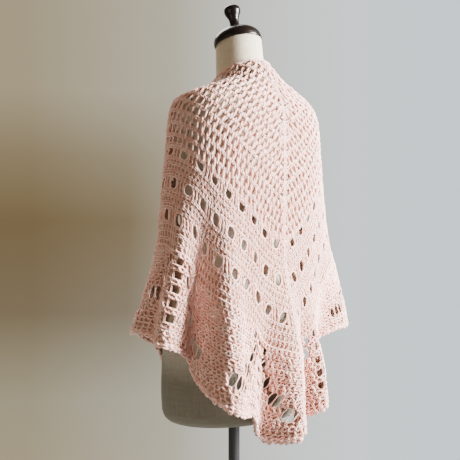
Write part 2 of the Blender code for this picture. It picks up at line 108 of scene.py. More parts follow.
# Height of the hem round the form
HEM = tuple(HemPoint(*row) for row in (
    (-165, 0.745), (-157, 0.795), (-148, 0.838), (-136, 0.866), (-116, 0.880), (-98, 0.884),
    (-70, 0.888), (-52, 0.874), (-38, 0.866), (-30, 0.845), (-24, 0.790), (-17, 0.736),
    (-11, 0.712), (-5, 0.694), (0, 0.681), (10, 0.674), (16, 0.686), (24, 0.738),
    (31, 0.742), (36, 0.752), (43, 0.772), (49, 0.795), (54, 0.822), (60, 0.846),
    (67, 0.866), (76, 0.875), (92, 0.889), (114, 0.889), (130, 0.876), (142, 0.860),
    (152, 0.832), (159, 0.795), (165, 0.745),
))

# Outside of the linen torso and its neck
FORM_SECTIONS = tuple(Section(*row) for row in (
    (0.700, 0.1480, 0.1080, 0.1060, 0.0000, 0.0), (0.703, 0.1560, 0.1160, 0.1140, 0.0000, 0.0),
    (0.711, 0.1630, 0.1230, 0.1210, 0.0000, 0.0), (0.724, 0.1665, 0.1265, 0.1245, 0.0000, 0.0),
    (0.760, 0.1680, 0.1280, 0.1260, 0.0000, 0.0), (0.820, 0.1665, 0.1265, 0.1240, 0.0000, 0.0),
    (0.900, 0.1540, 0.1120, 0.1130, 0.0020, 0.0), (0.970, 0.1340, 0.0960, 0.0990, 0.0080, 0.0),
    (1.030, 0.1230, 0.0860, 0.0930, 0.0150, 0.0), (1.100, 0.1290, 0.0880, 0.1000, 0.0220, 0.0),
    (1.170, 0.1420, 0.0960, 0.1020, 0.0260, 0.0), (1.240, 0.1560, 0.0990, 0.0940, 0.0290, 0.02),
    (1.275, 0.1680, 0.0990, 0.0880, 0.0290, 0.03), (1.295, 0.1740, 0.0980, 0.0870, 0.0290, 0.04),
    (1.316, 0.1705, 0.0950, 0.0845, 0.0260, 0.04), (1.330, 0.1610, 0.0905, 0.0795, 0.0220, 0.04),
    (1.341, 0.1385, 0.0865, 0.0725, 0.0200, 0.04), (1.352, 0.1090, 0.0815, 0.0645, 0.0190, 0.04),
    (1.365, 0.0745, 0.0750, 0.0565, 0.0190, 0.03), (1.380, 0.0585, 0.0650, 0.0525, 0.0190, 0.01),
    (1.400, 0.0510, 0.0560, 0.0500, 0.0180, 0.0), (1.420, 0.0495, 0.0505, 0.0490, 0.0165, 0.0),
    (1.466, 0.0475, 0.0480, 0.0475, 0.0130, 0.0),
))

# Yarn and stitches: metres, and plain numbers for shares of a row or of a cell
MESH_ROW = 0.030
MESH_ROWS = 12
MESH_PITCH = 0.0125
CLOSE_PITCH = 0.0085
PICOT_PITCH = 0.0110
EYELET_CELLS = (28, 30, 32)
STRAND_SPREAD = 0.0010
STRAND_RADIUS = 0.00135
STRAND_SIDES = 4
POST_STEPS = 6
LOOP_STEPS = 7
LOOP_RADIUS = 0.0012
ROW_TO_DEPTH = math.sqrt(2.0)
GROUND_THICKNESS = 0.001
EYELET_MORE = 0.0035
EYELET_POST = 0.03
EYELET_PITCH = 0.075
CLOSE_BANDS = ((0.4140, 0.4610), (0.4890, 0.5360), (0.5640, 0.6200))
CLOSE_ROWS = 3
BORDER_STITCHES = BORDER_CELLS + 18
RIM_RADIUS = 0.0021
RIM_POWER = 3
CORD_RADIUS = 0.0016
CORD_TWIST = 0.011
CORD_SPREAD = 0.0012
# Painted shade on the yarn: the lift below which it starts, and the depth over which it grows to full
PAINTED_SHADE_TOP = 0.0020
PAINTED_SHADE_DEPTH = 0.0042
RIBBON = 0.0035
RIB = 0.0032
CLOSED_RIB = 0.0061
CLOSED_SHARE = 0.30
OPENING_SHARE = 0.25
GROUND_START = 0.3840
CLOSE_GROUND_END = 0.6060
BORDER_JOIN = 0.6080
BORDER_JOIN_CELLS = 160

# How uneven the hand work is, as standard deviations
SIZE_SCATTER = 0.07
LOOP_SIZE_SCATTER = 0.08
LIFT_SCATTER = 0.0003
LOOP_LIFT_SCATTER = 0.0004
SLACK = 0.0006

# The three small rings of a picot, by depth, half width, half height, tilt and yarn radius
Ring = namedtuple("Ring", "depth width height tilt radius")
PICOT_RINGS = (
    Ring(0.7960, 0.0042, 0.0044, 0.2, 0.0022),
    Ring(0.7950, 0.0037, 0.0037, 1.1, 0.0021),
    Ring(0.7955, 0.0030, 0.0040, -0.9, 0.0021),
)

# Yarn colours from its dark patches to its pale ones, and the painted shade in the hollows between strands
YARN_COLORS = ((0.85, 0.455, 0.375), (0.91, 0.55, 0.47), (0.95, 0.665, 0.595))
YARN_PAINTED_SHADE = (0.43, 0.26, 0.19)

KNOB_PROFILE = (
    (0.0124, 0.000), (0.0116, 0.002), (0.0104, 0.007), (0.0098, 0.014), (0.0104, 0.021), (0.0128, 0.028),
    (0.0158, 0.034), (0.0174, 0.040), (0.0168, 0.046), (0.0120, 0.0505), (0.0040, KNOB_HEIGHT),
)

# The photograph's view and its light
IMAGE_PIXELS = 460.0
SENSOR_WIDTH = 36.0
CAMERA_DISTANCE = 1.57
CAMERA_HEIGHT = 1.082
CAMERA_SHIFT_PIXELS = -4.0
FOCAL_PIXELS = 747.6
PHOTO_RIGHT = (-0.7071, 0.7071, 0.0)
PHOTO_TOWARD = (0.7071, 0.7071, 0.0)
FLOOR_RADIUS = 1.70
FLOOR_DROP = 0.0005
FLOOR_SIDES = 128
Lamp = namedtuple("Lamp", "name place target width height power color spread")
LAMPS = (
    Lamp("window", (-1.40, 1.95, 1.80), (0.0, 0.0, 1.05), 1.1, 1.5, 140.0, (1.0, 0.985, 0.97), 80.0),
    Lamp("room_fill", (2.2, 0.2, 1.3), (0.0, 0.0, 1.0), 1.6, 1.6, 9.0, (1.0, 0.86, 0.64), 180.0),
    Lamp("front_fill", (-0.7, -2.0, 3.3), (0.0, 0.0, 0.9), 1.8, 1.8, 34.0, (1.0, 0.97, 0.93), 120.0),
)

# The room: its strength behind the form and elsewhere, its colour elsewhere, its colours from left to
# right behind the form, and the shade on its left from low to high
WALL_STRENGTH = 1.45
ROOM_STRENGTH = 0.22
ROOM_COLOR = (0.86, 0.74, 0.60)
WALL_COLORS = (
    (0.0, (0.31, 0.26, 0.165)), (0.35, (0.42, 0.385, 0.295)), (0.56, (0.64, 0.65, 0.61)),
    (0.78, (0.72, 0.78, 0.79)), (1.0, (0.66, 0.75, 0.79)),
)
WALL_SHADE = (
    (0.0, (1.0, 1.0, 1.0)), (0.14, (0.92, 0.96, 1.0)), (0.32, (0.50, 0.46, 0.43)),
    (0.52, (0.46, 0.39, 0.30)), (0.66, (0.66, 0.61, 0.54)), (0.80, (1.0, 1.0, 1.0)),
)

noise = np.random.default_rng(11)


def eased(where, knots, values):
    """A smooth curve through a short table of values that never overshoots them."""
    knots = np.asarray(knots, dtype=float)
    values = np.asarray(values, dtype=float)
    run = np.diff(knots)
    rise = np.diff(values) / run
    slope = np.zeros_like(values)
    slope[0] = rise[0]
    slope[-1] = rise[-1]
    product = rise[:-1] * rise[1:]
    total = rise[:-1] + rise[1:]
    level = product <= 0.0
    slope[1:-1] = np.where(level, 0.0, 2.0 * product / np.where(level, 1.0, total))
    where = np.clip(where, knots[0], knots[-1])
    span = np.clip(np.searchsorted(knots, where, side="right") - 1, 0, len(run) - 1)
    part = (where - knots[span]) / run[span]
    back = 1.0 - part
    ends = (1.0 + 2.0 * part) * back**2 * values[span] + part**2 * (3.0 - 2.0 * part) * values[span + 1]
    lean = part * back**2 * slope[span] - part**2 * back * slope[span + 1]
    return ends + run[span] * lean


def ring_point(sections, angle, height):
    """A place on the oval section of this height, and the way out from it."""
    rows = sorted(sections)
    heights = [row.height for row in rows]
    half_width = eased(height, heights, [row.half_width for row in rows])
    back = eased(height, heights, [row.back for row in rows])
    front = eased(height, heights, [row.front for row in rows])
    centre = eased(height, heights, [row.centre for row in rows])
    fullness = eased(height, heights, [row.fullness for row in rows])
    lean = eased(height, [row.height for row in LEANS], [row.slope for row in LEANS])
    turn = np.radians(angle)
    side = np.sin(turn)
    rear = np.cos(turn)
    reach = np.where(rear >= 0.0, back, front)
    swell = 1.0 + np.where(rear >= 0.0, fullness, 0.0) * np.sin(2.0 * turn) ** 2
    depth = centre + reach * rear * swell
    place = np.stack([half_width * side * swell, depth, height + lean * depth], axis=-1)
    out = np.stack([side / half_width, rear / reach, 0.0 * side], axis=-1)
    return place, out / np.linalg.norm(out, axis=-1, keepdims=True)


def fold_offset(angle, height):
    """How far the hanging folds move the cloth out or in."""
    offset = np.zeros(np.broadcast(angle, height).shape)
    for fold in FOLDS:
        growth = np.clip((fold.start - height) / (fold.start - FULL_FOLD_HEIGHT), 0.0, 1.3)
        growth = np.where(growth < 1.0, growth * growth * (3.0 - 2.0 * growth), growth)
        offset = offset + fold.depth * growth * np.exp(-(((angle - fold.angle) / fold.width) ** 2))
    return offset


def cloth_point(angle, height):
    """The inside of the hanging cloth."""
    place, out = ring_point(CLOTH_SECTIONS, angle, height)
    return place + out * fold_offset(angle, height)[..., None]


def cloth_normal(angle, height):
    """The way out of the hanging cloth, square to it."""
    small_turn = 0.25
    small_rise = 0.0005
    across = cloth_point(angle + small_turn, height) - cloth_point(angle - small_turn, height)
    upward = cloth_point(angle, height + small_rise) - cloth_point(angle, height - small_rise)
    normal = np.cross(upward, across)
    return normal / np.linalg.norm(normal, axis=-1, keepdims=True)


class Drape:
    """Carries flat places on the shawl to places on the hanging cloth.

    The cloth of one row is shared out evenly along its whole curve, folds included, so stitches of
    one row are equally wide.
    """

    COLUMNS = 133
    LEVELS = 260
    ROWS = 101
    SHARES = 301

    def __init__(self):
        self.angles = np.linspace(-EDGE_ANGLE, EDGE_ANGLE, self.COLUMNS)
        heights = np.linspace(COLLAR_HEIGHT, LOWEST_CLOTH, 420)
        grid_angle, grid_height = np.meshgrid(self.angles, heights, indexing="ij")
        places = ring_point(CLOTH_SECTIONS, grid_angle, grid_height)[0]
        steps = np.linalg.norm(np.diff(places, axis=1), axis=2)
        lengths = np.concatenate([np.zeros((self.COLUMNS, 1)), np.cumsum(steps, axis=1)], axis=1)
        self.longest = lengths[:, -1].min()
        self.levels = np.linspace(0.0, self.longest, self.LEVELS)
        self.heights = np.stack([np.interp(self.levels, row, heights) for row in lengths])
        hem = eased(self.angles, [row.angle for row in HEM], [row.height for row in HEM])
        self.hem_lengths = np.array(
            [np.interp(-height, -heights, row) for height, row in zip(hem, lengths)]
        )
        self.turns = {side: self.even_turns(side) for side in (1, -1)}

    def even_turns(self, side):
        """For each row, the turn round the form at evenly spaced shares of its curve."""
        shares = np.linspace(0.0, 1.0, self.SHARES)
        table = [shares]
        for depth in np.linspace(0.0, SPINE_DEPTH, self.ROWS)[1:]:
            places = cloth_point(*self.hang_by_turn(depth, shares, side))
            steps = np.linalg.norm(np.diff(places, axis=0), axis=1)
            run = np.concatenate([[0.0], np.cumsum(steps)])
            table.append(np.interp(shares, run / run[-1], shares))
        return np.array(table)

    def height(self, angle, length):
        """The height of the cloth this far down from the collar at this angle."""
        column = (angle + EDGE_ANGLE) / (2.0 * EDGE_ANGLE) * (self.COLUMNS - 1)
        level = length / self.longest * (self.LEVELS - 1)
        return between(self.heights, column, level)

    def hang_by_turn(self, depth, turn, side):
        """Angle and height of a row's place, by how far it has turned towards the top edge."""
        ratio = HALF_SPAN / SPINE_DEPTH
        spread = np.hypot(1.0 - turn, turn * ratio)
        turned = np.tanh(depth / NECK_TURN) / math.tanh(SPINE_DEPTH / NECK_TURN)
        angle = side * EDGE_ANGLE * turn * turned
        collar = NECK_WRAP * turn**2 * np.tanh(depth * ratio / NECK_WRAP)
        hem = np.interp(side * EDGE_ANGLE * turn, self.angles, self.hem_lengths)
        stretch = (hem + NECK_WRAP * turn**2) / (spread * SPINE_DEPTH) - 1.0
        length = depth * spread * (1.0 + (depth / SPINE_DEPTH) ** 2 * stretch) - collar
        return angle, self.height(angle, np.maximum(length, 0.0))

    def hang(self, depth, share, side):
        """Angle and height of the flat place (depth, share) on the wing of this side."""
        row = depth / SPINE_DEPTH * (self.ROWS - 1)
        turn = between(self.turns[side], row, share * (self.SHARES - 1))
        return self.hang_by_turn(depth, turn, side)


def between(table, row, column):
    """A value between the four nearest entries of a table."""
    row = np.clip(row, 0.0, table.shape[0] - 1.0001)
    column = np.clip(column, 0.0, table.shape[1] - 1.0001)
    above = row.astype(int)
    left = column.astype(int)
    down = row - above
    across = column - left
    near = table[above, left] * (1.0 - across) + table[above, left + 1] * across
    far = table[above + 1, left] * (1.0 - across) + table[above + 1, left + 1] * across
    return near * (1.0 - down) + far * down


class Wing:
    """One half of the shawl, seen as rows of crochet on the hanging cloth.

    A place on a row is (depth, across): the row's depth down the spine and the distance along the
    row from its middle, towards the top edge. Lift is the distance out of the middle of the cloth.
    """

    def __init__(self, side, drape):
        self.side = side
        self.drape = drape
        self.depths = np.linspace(0.0, SPINE_DEPTH, 81)
        shares = np.linspace(0.0, 1.0, 240)
        lengths = [0.0]
        for depth in self.depths[1:]:
            places = cloth_point(*drape.hang(np.full_like(shares, depth), shares, side))
            lengths.append(np.linalg.norm(np.diff(places, axis=0), axis=1).sum())
        self.lengths = np.array(lengths)

    def length(self, depth):
        """How long the row at this depth is on the hanging cloth."""
        return np.interp(depth, self.depths, self.lengths)

    def share(self, depth, across):
        """Share along the row, from the spine at 0 to the top edge at 1."""
        return 0.5 + across / np.maximum(self.length(depth), 0.01)

    def lay(self, depth, across, lift):
        """Places on the hanging cloth, and the ways out of it there."""
        share = self.share(depth, across)
        angle, height = self.drape.hang(depth, np.clip(share, 0.0, 1.0), self.side)
        out = cloth_normal(angle, height)
        return cloth_point(angle, height) + (WALL / 2.0 + lift)[..., None] * out, out


class Mesh:
    """Gathers faces of several tubes and sheets, then makes one object of them."""

    def __init__(self):
        self.points = []
        self.painted_shades = []
        self.corners = []
        self.counts = []
        self.total = 0

    def add(self, points, faces, lifts=None):
        """Faces is an array of equally many corners each, and lifts say how far out each point is."""
        self.points.append(points.reshape(-1, 3))
        if lifts is None:
            lifts = np.zeros(len(self.points[-1]))
        # Points lying below the yarn's outer surface get painted shade, growing with depth
        self.painted_shades.append(np.clip((PAINTED_SHADE_TOP - lifts.reshape(-1)) / PAINTED_SHADE_DEPTH, 0.0, 1.0))
        self.corners.append((faces + self.total).reshape(-1))
        self.counts.append(np.full(len(faces), faces.shape[1]))
        self.total += len(self.points[-1])

    def tubes(self, paths, ups, lifts, radius, sides, closed=False):
        """Round tubes along many paths of equally many points, with a lift for each point."""
        if closed:
            tangent = np.roll(paths, -1, axis=1) - np.roll(paths, 1, axis=1)
        else:
            tangent = np.gradient(paths, axis=1)
        side = unit(np.cross(tangent, ups))
        up = unit(np.cross(side, tangent))
        number, steps = paths.shape[:2]
        radius = np.broadcast_to(radius, (number, steps))[..., None, None]
        turn = np.linspace(0.0, 2.0 * np.pi, sides, endpoint=False)[None, None, :, None]
        rings = paths[:, :, None] + radius * (side[:, :, None] * np.cos(turn) + up[:, :, None] * np.sin(turn))
        # A tube's inner side lies lower, so it gets more painted shade
        lifts = np.broadcast_to(lifts, (number, steps))[..., None] + (radius * np.sin(turn))[..., 0]
        first = (np.arange(number) * steps * sides)[:, None, None]
        here = np.arange(steps if closed else steps - 1)[None, :, None]
        after = (here + 1) % steps
        corner = np.arange(sides)[None, None, :]
        beside = (corner + 1) % sides
        faces = np.stack([
            first + here * sides + corner, first + after * sides + corner,
            first + after * sides + beside, first + here * sides + beside,
        ], axis=-1).reshape(-1, 4)
        start = self.total
        self.add(rings, faces, lifts)
        if not closed:
            near = first[:, 0] + np.arange(sides)[None, :]
            far = near[:, ::-1] + (steps - 1) * sides
            for cap in (near, far):
                self.corners.append((cap + start).reshape(-1))
                self.counts.append(np.full(number, sides))

    def piece(self, name, material):
        """One smooth object of all that was gathered, with how much painted shade each point gets from how
        low it lies.
        """
        points = np.concatenate(self.points).astype(np.float32)
        corners = np.concatenate(self.corners).astype(np.int32)
        counts = np.concatenate(self.counts)
        starts = np.concatenate([[0], np.cumsum(counts)[:-1]]).astype(np.int32)
        mesh = bpy.data.meshes.new(name)
        mesh.vertices.add(len(points))
        mesh.vertices.foreach_set("co", points.ravel())
        mesh.loops.add(len(corners))
        mesh.loops.foreach_set("vertex_index", corners)
        mesh.polygons.add(len(counts))
        mesh.polygons.foreach_set("loop_start", starts)
        mesh.update(calc_edges=True)
        mesh.validate()
        mesh.shade_smooth()
        painted_shade = mesh.attributes.new("painted_shade", "FLOAT", "POINT")
        painted_shade.data.foreach_set("value", np.concatenate(self.painted_shades).astype(np.float32))
        mesh.materials.append(material)
        piece = bpy.data.objects.new(name, mesh)
        bpy.context.scene.collection.objects.link(piece)
        return piece


def unit(vectors):
    """The same directions at length one."""
    return vectors / np.maximum(np.linalg.norm(vectors, axis=-1, keepdims=True), 1e-12)


def posts(mesh, wing, top, bottom, start, end, lift=0.0, size=1.0, twist=1.1):
    """Upright stitches of two twisted strands, from (top, start) on one row to (bottom, end) below."""
    count = len(start)
    if count == 0:
        return
    steps = np.linspace(0.0, 1.0, POST_STEPS)[None, :]
    top, bottom = (np.broadcast_to(value, count)[:, None] for value in (top, bottom))
    size = (np.broadcast_to(size, count) * (1.0 + SIZE_SCATTER * noise.standard_normal(count)))[:, None]
    lift = (np.broadcast_to(lift, count) + LIFT_SCATTER * noise.standard_normal(count))[:, None]
    start, end = (np.broadcast_to(value, count)[:, None] for value in (start, end))
    phase = noise.uniform(0.0, 2.0 * np.pi, count)[:, None]
    slack = SLACK * noise.standard_normal(count)[:, None] * np.sin(np.pi * steps)
    for strand in (0.0, np.pi):
        turn = phase + strand + 2.0 * np.pi * twist * steps
        depth = top + (bottom - top) * steps + np.zeros((count, 1))
        across = start + (end - start) * steps + slack + size * STRAND_SPREAD * np.cos(turn)
        rise = lift + size * STRAND_SPREAD * np.sin(turn) + 0.0006 * np.sin(np.pi * steps)
        paths, ups = wing.lay(depth, across, rise)
        mesh.tubes(paths, ups, rise, size * STRAND_RADIUS, STRAND_SIDES)


def loops(mesh, wing, depth, across, length, width, lift=0.0, size=1.0):
    """Stitch tops: closed loops lying along the row, each over the next like chain links."""
    count = len(across)
    if count == 0:
        return
    turn = np.linspace(0.0, 2.0 * np.pi, LOOP_STEPS, endpoint=False)[None, :]
    depth, across, length, width = (
        np.broadcast_to(value, count)[:, None] for value in (depth, across, length, width)
    )
    size = (np.broadcast_to(size, count) * (1.0 + LOOP_SIZE_SCATTER * noise.standard_normal(count)))[:, None]
    lift = (np.broadcast_to(lift, count) + LOOP_LIFT_SCATTER * noise.standard_normal(count))[:, None]
    skew = 0.2 * noise.standard_normal(count)[:, None]
    drop = width / 2.0 * np.sin(turn) * (1.0 + 0.35 * np.cos(turn)) + skew * 0.002 * np.cos(turn)
    rise = lift + 0.0009 * np.cos(turn)
    paths, ups = wing.lay(depth + ROW_TO_DEPTH * drop, across + length / 2.0 * np.cos(turn), rise)
    mesh.tubes(paths, ups, rise, size * LOOP_RADIUS, STRAND_SIDES, closed=True)


def spread(wing, depth, pitch, phase=0.0, margin=0.004):
    """Evenly pitched places along a row, in columns that run on from row to row."""
    half = wing.length(depth) / 2.0 - margin
    first = math.ceil(-half / pitch - phase)
    last = math.floor(half / pitch - phase)
    return (np.arange(first, last + 1) + phase) * pitch


def row_top(mesh, wing, depth, pitch, width=0.0042, lift=0.0012, size=1.0):
    """The chain-like line along the top of a row."""
    places = spread(wing, depth, pitch, 0.5, 0.002)
    loops(mesh, wing, depth, places, 1.45 * pitch, width, lift, size)


def eyelet_edges():
    """The top, the bottom and the number of cells of each eyelet row."""
    edges = []
    for middle, cells in zip(EYELET_DEPTHS, EYELET_CELLS):
        top = middle - EYELET_HEIGHT / 2.0 - EYELET_MORE
        bottom = middle + EYELET_HEIGHT / 2.0 + EYELET_MORE
        edges.append((top, bottom, cells))
    return edges


def eyelet_holes():
    """The open cells of the eyelet rows as (top, bottom, near, far) with shares for near and far."""
    holes = []
    for top, bottom, cells in eyelet_edges():
        for index in range(1, cells - 1, 2):
            holes.append((top, bottom, (index + EYELET_POST) / cells, (index + 1 - EYELET_POST) / cells))
    return holes


def lace_slots():
    """The cut places round a ladder, by row and by distance from it in cells."""
    large_hole = (0.08, 0.92, ((0.12, 0.86),))
    leaf_slot = (0.10, 0.90, ((0.02, 0.98),))
    ladder_hole = (-0.10, 1.10, ((0.14, 0.82),))
    slots = {(row, 0): ladder_hole for row in range(5)}
    slots[(0, 2)] = large_hole
    for distance, row in ((2, 1), (3, 2), (4, 3), (5, 3), (6, 4), (7, 4), (8, 4)):
        slots[(row, distance)] = leaf_slot
    return slots


def border_holes():
    """The border's open places as (top, bottom, near, far) with shares for near and far."""
    slots = lace_slots()
    holes = []
    for row, (upper, lower) in enumerate(zip(BORDER_ROWS, BORDER_ROWS[1:])):
        for cell in range(1, BORDER_CELLS - 1):
            slot = slots.get((row, min(abs(cell - ladder) for ladder in LADDER_CELLS)))
            if slot:
                start, end, levels = slot
                for top, bottom in levels:
                    holes.append((
                        upper + (lower - upper) * top, upper + (lower - upper) * bottom,
                        (cell + start) / BORDER_CELLS, (cell + end) / BORDER_CELLS,
                    ))
    return holes


def blocked(holes, wing, top, bottom, start, end, clear):
    """Which stitches, from (top, start) to (bottom, end), would close a hole."""
    shut = np.zeros(len(start), dtype=bool)
    for part in (0.15, 0.5, 0.85):
        depth = top + (bottom - top) * part
        across = start + (end - start) * part
        length = wing.length(depth)
        for upper, lower, near, far in holes:
            inside = (depth > upper) & (depth < lower)
            if not np.any(inside):
                continue
            low = (near - 0.5) * length - clear
            high = (far - 0.5) * length + clear
            shut |= inside & (across > low) & (across < high)
    return shut


def rims(mesh, wing, holes, inset=0.0012, size=1.0):
    """A strand round each hole, so that its edge is round yarn."""
    if not holes:
        return
    table = np.array(holes)
    uneven = noise.standard_normal((3, len(table)))
    middle = (table[:, 0] + table[:, 1]) / 2.0
    half_height = (table[:, 1] - table[:, 0]) / 2.0 * (1.0 + 0.06 * uneven[0]) - ROW_TO_DEPTH * inset
    length = wing.length(middle)
    centre = ((table[:, 2] + table[:, 3]) / 2.0 - 0.5) * length
    half_width = (table[:, 3] - table[:, 2]) / 2.0 * length * (1.0 + 0.06 * uneven[1]) - inset
    turn = np.linspace(0.0, 2.0 * np.pi, 12, endpoint=False)[None, :]
    squarish = np.abs(np.cos(turn)) ** RIM_POWER + np.abs(np.sin(turn)) ** RIM_POWER
    squarish = squarish ** (-1.0 / RIM_POWER)
    depth = middle[:, None] + half_height[:, None] * np.sin(turn) * squarish
    skew = (0.16 + 0.10 * uneven[2])[:, None] * half_height[:, None] / ROW_TO_DEPTH * np.sin(turn)
    across = centre[:, None] + half_width[:, None] * np.cos(turn) * squarish + skew
    lift = 0.0006 + 0.0006 * noise.standard_normal(depth.shape)
    paths, ups = wing.lay(depth, across, lift)
    mesh.tubes(paths, ups, lift, RIM_RADIUS * size, 5, closed=True)


def mesh_rows(mesh, wing):
    """Open filet-like rows from the nape to the first eyelets."""
    for index in range(1, MESH_ROWS + 1):
        top = index * MESH_ROW
        bottom = top + MESH_ROW
        middle = (top + bottom) / 2.0
        places = spread(wing, middle, MESH_PITCH, 0.5 * (index % 2), 0.004)
        limit = wing.length(top) / 2.0 - 0.002
        start = np.clip(places - 0.0014, -limit, limit)
        near_spine = np.clip(0.80 - wing.share(middle, places), 0.0, 1.0)
        size = 1.22 + (1.35 - 0.5 * index / MESH_ROWS) * near_spine
        posts(mesh, wing, top - 0.001, bottom + 0.001, start, places + 0.0014, 0.0004, size, 0.8)
        row_top(mesh, wing, top, MESH_PITCH / 2.0, 0.0048, 0.0014, 1.15)
    row_top(mesh, wing, (MESH_ROWS + 1) * MESH_ROW, MESH_PITCH / 2.0)


def nape(mesh, wing):
    """Close stitches in the small triangle where the work starts."""
    for top in (0.006, 0.018):
        places = spread(wing, top + 0.006, 0.0065, 0.5, 0.001)
        posts(mesh, wing, top, top + 0.013, places, places, 0.0, 1.1)


def eyelet_rows(mesh, wing):
    """The three eyelet rows with close rows of stitches between them."""
    rims(mesh, wing, eyelet_holes(), -0.0005)
    for top, bottom, cells in eyelet_edges():
        solid_cells = [cell for cell in range(cells) if cell % 2 == 0 or cell == cells - 1]
        shares = np.array([(cell + part) / cells for cell in solid_cells for part in (0.12, 0.5, 0.88)])
        start = (shares - 0.5) * wing.length(top)
        end = (shares - 0.5) * wing.length(bottom)
        posts(mesh, wing, top, bottom, start, end, 0.0004, 1.15)
        row_top(mesh, wing, top - 0.003, 0.0062)
        row_top(mesh, wing, bottom + 0.003, 0.0062)
    close_rows = []
    for upper, lower in CLOSE_BANDS:
        levels = np.linspace(upper, lower, CLOSE_ROWS + 1)
        close_rows += list(zip(levels, levels[1:]))
    for number, (top, bottom) in enumerate(close_rows):
        places = spread(wing, (top + bottom) / 2.0, CLOSE_PITCH, 0.5 * (number % 2), 0.003)
        limit = wing.length(top) / 2.0 - 0.002
        start = np.clip(places - 0.0006, -limit, limit)
        posts(mesh, wing, top, bottom, start, places + 0.0006, 0.0, 1.1)
        if number % CLOSE_ROWS:
            row_top(mesh, wing, top, CLOSE_PITCH)


def border_rows(mesh, wing):
    """The bumpy lace border: plump stitches, with long strands and open places between them."""
    holes = border_holes()
    rims(mesh, wing, holes, -0.0014, 0.62)
    stitches = BORDER_STITCHES
    levels = []
    for upper, lower in zip(BORDER_ROWS, BORDER_ROWS[1:]):
        levels += [upper, (upper + lower) / 2.0]
    levels.append(BORDER_ROWS[-1])
    for number, (top, bottom) in enumerate(zip(levels, levels[1:])):
        shares = (np.arange(stitches) + 0.25 + 0.5 * (number % 2)) / stitches
        shares = np.clip(shares + 0.0012 * noise.standard_normal(stitches), 0.002, 0.998)
        start = (shares - 0.5) * wing.length(top)
        end = (shares - 0.5) * wing.length(bottom) + 0.0010 * noise.standard_normal(stitches)
        keep = ~blocked(holes, wing, top, bottom, start, end, 0.0026)
        count = keep.sum()
        lift = 0.0006 + 0.0009 * noise.standard_normal(count)
        size = 1.40 + 0.20 * noise.standard_normal(count)
        posts(mesh, wing, top - 0.0005, bottom + 0.0005, start[keep], end[keep], lift, size, 0.7)
        places = (np.arange(stitches) + 0.75 + 0.5 * (number % 2)) / stitches
        places = (places[places < 0.998] - 0.5) * wing.length(top)
        clear = ~blocked(holes, wing, top - 0.003, top + 0.003, places, places, 0.0050)
        loops(mesh, wing, top, places[clear], 0.0128, 0.0070, 0.0024, 1.45)


def picots(mesh, wing):
    """The bobbly last row: a chained edge with small knots hanging from it."""
    depth = PICOT_DEPTH + 0.003
    places = spread(wing, depth, PICOT_PITCH, 0.5, 0.002)
    posts(mesh, wing, PICOT_DEPTH - 0.002, PICOT_ROOT_DEPTH + 0.002, places, places, 0.0, 1.4)
    loops(mesh, wing, depth, places + PICOT_PITCH / 2.0, 0.012, 0.005, 0.001, 1.3)
    count = len(places)
    turn = np.linspace(0.0, 2.0 * np.pi, 10, endpoint=False)[None, :]
    for ring in PICOT_RINGS:
        wobble = 0.0012 * noise.standard_normal((count, 1))
        lean = ring.tilt + 0.3 * noise.standard_normal((count, 1))
        drop = (ring.height + wobble) * np.sin(turn) * np.cos(lean)
        rise = ring.height * np.sin(turn) * np.sin(lean) + 0.0008
        across = places[:, None] + wobble + ring.width * np.cos(turn)
        paths, ups = wing.lay(ring.depth + ROW_TO_DEPTH * drop, across, rise)
        mesh.tubes(paths, ups, rise + 0.001, ring.radius, 5, closed=True)


def spine_and_edges(mesh, wing):
    """The dense column down the spine and the cord-like finish of the top edge."""
    depths = np.arange(0.004, 0.790, 0.004)
    half = wing.length(depths) / 2.0
    for share_side in (-1.0, 1.0):
        for strand in (0.0, np.pi):
            turn = depths / CORD_TWIST * 2.0 * np.pi + strand
            inset = 0.0022 + CORD_SPREAD * np.cos(turn)
            across = share_side * (half - np.minimum(inset, half))
            rise = CORD_RADIUS + CORD_SPREAD * np.sin(turn)[None, :]
            paths, ups = wing.lay(depths[None, :], across[None, :], rise)
            mesh.tubes(paths, ups, rise, CORD_RADIUS, 5)
    tops = np.arange(0.012, 0.780, 0.015)
    bottoms = tops + 0.010
    start = -wing.length(tops) / 2.0 + 0.001
    for reach in (0.005, 0.010):
        posts(mesh, wing, tops - 0.004, bottoms, start, -wing.length(bottoms) / 2.0 + reach, 0.0012, 1.0)


